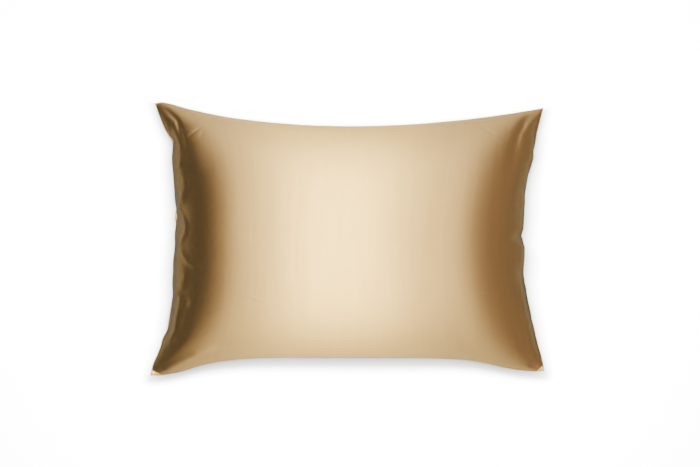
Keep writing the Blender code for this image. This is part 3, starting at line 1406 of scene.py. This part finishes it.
@dataclass
class Stitches:
    """Lockstitches as short rounded threads, set along rows by Geometry Nodes."""

    case: FilledCase
    finish: ThreadFinish = field(default_factory=ThreadFinish)
    name: str = "case_stitches"
    pitch: float = 3.0 * MM
    length: float = 2.7 * MM
    thickness: float = 0.5 * MM
    # From the hem's edge to its stitches, and from a seam to the row that shows in its groove
    hem_row: float = 1.8 * MM
    seam_row: float = 0.35 * MM
    row_end: float = 0.02
    # How far a thread's middle stands off the cloth, as a share of its thickness
    proud_share: float = 0.2
    segments: int = 6
    rings: int = 4

    def rows(self) -> tuple[StitchRow, ...]:
        """The hem's row on each panel, and the rows of the three sewn seams.

        Returns:
            The rows.
        """
        seam = self.case.seam
        hem = 1 - self.hem_row / seam.length
        low, high = self.row_end, 1 - self.row_end
        inset = self.seam_row / seam.width
        end_inset = self.seam_row / seam.length
        proud = self.thickness * self.proud_share
        hems = tuple(StitchRow(face, (hem, low), (hem, high), proud) for face in Face)
        return hems + (
            StitchRow(Face.FRONT, (low, 1 - inset), (high, 1 - inset), proud),
            StitchRow(Face.FRONT, (low, inset), (high, inset), proud),
            StitchRow(Face.FRONT, (end_inset, low), (end_inset, high), proud),
        )

    def build(self) -> bpy.types.Object:
        """Returns:
            The stitches' object.
        """
        places, runs, outs = (np.concatenate(x) for x in zip(*map(self._placed, self.rows())))
        mesh = bpy.data.meshes.new(self.name)
        mesh.from_pydata(places.tolist(), [], [])
        for name, values in (("run", runs), ("out", outs)):
            layer = mesh.attributes.new(name, "FLOAT_VECTOR", "POINT")
            layer.data.foreach_set("vector", values.ravel())
        holder = add_object(self.name, mesh)
        material = self.finish.material()
        tree, sockets = self._tree()
        modifier = holder.modifiers.new("stitches", "NODES")
        modifier.node_group = tree
        modifier[sockets["Length"]] = self.length
        modifier[sockets["Thickness"]] = self.thickness
        modifier[sockets["Thread"]] = material
        made = bpy.data.meshes.new_from_object(
            holder.evaluated_get(bpy.context.evaluated_depsgraph_get())
        )
        holder.modifiers.remove(modifier)
        holder.data = made
        made.name = self.name
        made.shade_smooth()
        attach(holder, BODY)
        return holder

    def _placed(self, row: StitchRow) -> tuple[np.ndarray, np.ndarray, np.ndarray]:
        """The stitches of one row, evenly spaced over the cloth as it lies.

        Args:
            row: The row.

        Returns:
            Their middles, the way that each runs, and the way out from the cloth.
        """
        fine = np.linspace(0, 1, ROW_SAMPLES)
        points, _ = self._on_cloth(row, fine)
        passed = np.concatenate(
            ((0.0,), np.cumsum(np.linalg.norm(np.diff(points, axis=0), axis=1)))
        )
        count = int(passed[-1] / self.pitch)
        middles = (np.arange(count) + 0.5) * self.pitch
        share = np.interp(middles, passed, fine)
        places, outs = self._on_cloth(row, share)
        before, _ = self._on_cloth(row, np.interp(middles - self.length / 2, passed, fine))
        after, _ = self._on_cloth(row, np.interp(middles + self.length / 2, passed, fine))
        runs = after - before
        runs = runs / np.linalg.norm(runs, axis=-1, keepdims=True)
        return places + outs * row.proud, runs, outs

    def _on_cloth(self, row: StitchRow, share: np.ndarray) -> tuple[np.ndarray, np.ndarray]:
        """Points of a row on the cloth, and the way out at each.

        Args:
            row: The row.
            share: How far along it, from 0 to 1.

        Returns:
            The points and the ways out.
        """
        along = row.start[0] + (row.end[0] - row.start[0]) * share
        across = row.start[1] + (row.end[1] - row.start[1]) * share
        return self.case.place(row.face, along, across)

    def _tree(self) -> tuple[bpy.types.NodeTree, dict[str, str]]:
        """The tree that sets one thread at each point.

        Returns:
            The tree, and the identifiers of its inputs by name.
        """
        tree = bpy.data.node_groups.new("lockstitches", "GeometryNodeTree")
        kinds = {
            "Geometry": "NodeSocketGeometry",
            "Length": "NodeSocketFloat",
            "Thickness": "NodeSocketFloat",
            "Thread": "NodeSocketMaterial",
        }
        sockets = {
            name: tree.interface.new_socket(name, in_out="INPUT", socket_type=kind).identifier
            for name, kind in kinds.items()
        }
        tree.interface.new_socket("Geometry", in_out="OUTPUT", socket_type="NodeSocketGeometry")
        given = add_node(tree, "NodeGroupInput").outputs
        thread = add_node(
            tree,
            "GeometryNodeMeshUVSphere",
            inputs={"Segments": self.segments, "Rings": self.rings, "Radius": 0.5},
        )
        vector = {"data_type": "FLOAT_VECTOR"}
        out = add_node(tree, "GeometryNodeInputNamedAttribute", vector, {"Name": "out"})
        run = add_node(tree, "GeometryNodeInputNamedAttribute", vector, {"Name": "run"})
        turn = add_node(
            tree,
            "FunctionNodeAxesToRotation",
            {"primary_axis": "Z", "secondary_axis": "X"},
            {"Primary Axis": out.outputs["Attribute"], "Secondary Axis": run.outputs["Attribute"]},
        )
        size = add_node(
            tree,
            "ShaderNodeCombineXYZ",
            inputs={"X": given["Length"], "Y": given["Thickness"], "Z": given["Thickness"]},
        )
        points = add_node(
            tree,
            "GeometryNodeInstanceOnPoints",
            inputs={
                "Points": given["Geometry"],
                "Instance": thread.outputs["Mesh"],
                "Rotation": turn.outputs["Rotation"],
                "Scale": size.outputs["Vector"],
            },
        )
        real = add_node(
            tree, "GeometryNodeRealizeInstances", inputs={"Geometry": points.outputs["Instances"]}
        )
        dyed = add_node(
            tree,
            "GeometryNodeSetMaterial",
            inputs={"Geometry": real.outputs["Geometry"], "Material": given["Thread"]},
        )
        add_node(tree, "NodeGroupOutput", inputs={"Geometry": dyed.outputs["Geometry"]})
        return tree, sockets


# ---------------------------------------------------------------------------------------------
# The studio
# ---------------------------------------------------------------------------------------------


class Softbox(NamedTuple):
    """A soft rectangular lamp: its middle, its size along X and Y, its brightness as the
    radiance of its face, its colour, and where it points."""

    name: str
    place: tuple[float, float, float]
    size: tuple[float, float]
    radiance: float
    colour: str
    target: tuple[float, float, float]


@dataclass
class Studio:
    """A plain pale floor under soft overhead light, and a camera straight above the case.

    The floor is over-exposed, as in a catalogue picture, so only the camera sees it. What the
    satin mirrors is a dull wooden table just below it, with a near-black sheet under the case
    as a painted shadow: it stands in for the case's shade on the table round it.
    """

    frame_width: float = 1.1560
    seam_height: float = 0.092
    lens: float = 150.0
    sensor: float = 36.0
    aim: tuple[float, float] = (0.0043, 0.0088)
    floor_width: float = 120.0
    floor_colour: tuple[float, float, float] = (0.30, 0.30, 0.30)
    # A broad even light, and a lamp overhead that throws the case's soft shadow outwards
    floor_sun: float = 15.0
    floor_sun_angle: float = 22.0
    floor_sun_tilt: float = 6.5
    floor_lamp: float = 180.0
    floor_lamp_size: tuple[float, float] = (0.45, 0.27)
    floor_lamp_place: tuple[float, float, float] = (0.0, 0.12, 1.15)
    table_colour: tuple[float, float, float] = (0.188, 0.176, 0.165)
    table_drop: float = 0.002
    # Painted shadow: a near-black sheet under the case, seen only in the satin's reflections, stands in
    # for the case's shade on the table
    shadow_sheet_colour: tuple[float, float, float] = (0.030, 0.028, 0.026)
    shadow_sheet_size: tuple[float, float] = (0.78, 0.56)
    surround: tuple[float, float, float] = (0.075, 0.063, 0.079)
    # How bright the camera sees the room where the floor ends
    horizon: float = 1.45
    # How many times as far as the floor the camera still sees
    camera_reach: float = 20.0
    softboxes: tuple[Softbox, ...] = (
        Softbox("core", (-0.10, 0.15, 2.00), (0.74, 5.0), 4.223, "#F7FFE4", (-0.10, 0.15, 0.0)),
        Softbox("middle", (0.0, 0.15, 2.06), (3.40, 5.0), 1.750, "#F2FFF8", (0.0, 0.15, 0.0)),
        Softbox("outer", (0.0, 0.15, 2.10), (6.0, 5.0), 0.482, "#F8E7FF", (0.0, 0.15, 0.0)),
        Softbox("open_end", (2.6, 0.0, 0.9), (5.0, 1.6), 0.330, "#FFE7EB", (0.0, 0.0, 0.1)),
        Softbox("lower_side", (0.0, -3.2, 0.45), (4.0, 0.9), 1.550, "#F2FAFF", (0.0, 0.0, 0.1)),
        Softbox("upper_side", (0.0, 2.9, 1.2), (4.0, 0.9), 2.750, "#DCE8FF", (0.0, 0.0, 0.1)),
    )

    def build(self) -> None:
        """Make the floor, the table top, the light and the camera."""
        wide = (self.floor_width, self.floor_width)
        floor = self._sheet("floor", wide, 0.0, PlainFinish("pale_floor", self.floor_colour))
        floor.visible_diffuse = False
        floor.visible_glossy = False
        floor.visible_shadow = False
        table = PlainFinish("wooden_table", self.table_colour)
        # The dark sheet under the case is a painted shadow, which darkens what the steep flanks mirror
        # where the case shades the table
        shadow_sheet = PlainFinish("painted_shadow_sheet", self.shadow_sheet_colour)
        for made in (
            self._sheet("table_top", wide, -self.table_drop, table),
            self._sheet("shadow_sheet", self.shadow_sheet_size, -self.table_drop / 2, shadow_sheet),
        ):
            made.visible_camera = False
        self._light_floor(floor)
        for box in self.softboxes:
            self._softbox(box)
        self._surround()
        self._camera()
        view = bpy.context.scene.view_settings
        view.view_transform = "AgX"
        view.look = "AgX - High Contrast"

    def _sheet(
        self, name: str, size: tuple[float, float], height: float, finish: PlainFinish
    ) -> bpy.types.Object:
        """A level rectangle of the stage.

        Args:
            name: Its name.
            size: Its size along X and Y.
            height: Its height.
            finish: Its finish.

        Returns:
            The rectangle's object.
        """
        x, y = size[0] / 2, size[1] / 2
        mesh = bpy.data.meshes.new(name)
        corners = [(-x, -y, height), (x, -y, height), (x, y, height), (-x, y, height)]
        mesh.from_pydata(corners, [], [(0, 1, 2, 3)])
        mesh.materials.append(finish.material())
        made = add_object(name, mesh)
        return made

    def _light_floor(self, floor: bpy.types.Object) -> None:
        """The lights that only the floor takes, so that it turns out white.

        Args:
            floor: The floor's object.
        """
        lit = bpy.data.collections.new("lit_by_floor_lights")
        lit.objects.link(floor)
        sun = bpy.data.lights.new("floor_sun", "SUN")
        sun.energy = self.floor_sun
        sun.angle = radians(self.floor_sun_angle)
        lamp = bpy.data.lights.new("floor_lamp", "AREA")
        lamp.shape = "ELLIPSE"
        lamp.size, lamp.size_y = self.floor_lamp_size
        lamp.energy = self.floor_lamp
        for light in (sun, lamp):
            made = add_object(light.name, light)
            made.location = self.floor_lamp_place
            made.rotation_euler.x = -radians(self.floor_sun_tilt)
            made.visible_camera = False
            made.light_linking.receiver_collection = lit

    def _softbox(self, box: Softbox) -> None:
        """One softbox, aimed at its target.

        Args:
            box: Its place, size, brightness and colour.
        """
        lamp = bpy.data.lights.new(box.name, "AREA")
        lamp.shape = "RECTANGLE"
        lamp.size, lamp.size_y = box.size
        lamp.energy = box.radiance * pi * box.size[0] * box.size[1]
        lamp.color = linear(box.colour)[:3]
        made = add_object(box.name, lamp)
        made.location = box.place
        way = Vector(box.target) - Vector(box.place)
        if way.xy.length > 1e-6:
            made.rotation_euler = way.to_track_quat("-Z", "Y").to_euler()
        made.visible_camera = False

    def _surround(self) -> None:
        """The dim room round the studio, which the steep flanks mirror."""
        world = bpy.data.worlds.new("surround")
        bpy.context.scene.world = world
        world.use_nodes = True
        tree = world.node_tree
        tree.nodes.clear()
        room = add_node(tree, "ShaderNodeBackground", inputs={"Color": (*self.surround, 1.0)})
        pale = add_node(
            tree, "ShaderNodeBackground", inputs={"Color": (1, 1, 1, 1), "Strength": self.horizon}
        )
        rays = add_node(tree, "ShaderNodeLightPath")
        both = add_node(
            tree,
            "ShaderNodeMixShader",
            inputs={
                0: rays.outputs["Is Camera Ray"],
                1: room.outputs["Background"],
                2: pale.outputs["Background"],
            },
        )
        add_node(tree, "ShaderNodeOutputWorld", inputs={"Surface": both.outputs["Shader"]})

    def _camera(self) -> None:
        """The camera, straight above."""
        camera = bpy.data.cameras.new("camera")
        camera.lens = self.lens
        camera.sensor_width = self.sensor
        distance = self.frame_width * self.lens / self.sensor
        camera.clip_end = distance * self.camera_reach
        made = add_object("camera", camera)
        made.location = (*self.aim, self.seam_height + distance)
        bpy.context.scene.camera = made


def main() -> None:
    """Build the case and the studio."""
    logging.basicConfig(level=logging.INFO, format="%(name)s: %(message)s")
    case = FilledCase()
    for piece in (case.build(), Stitches(case).build()):
        LOG.info("%s: %d faces", piece.name, len(piece.data.polygons))
    Studio().build()
    LOG.info("studio")


if __name__ == "__main__":
    main()
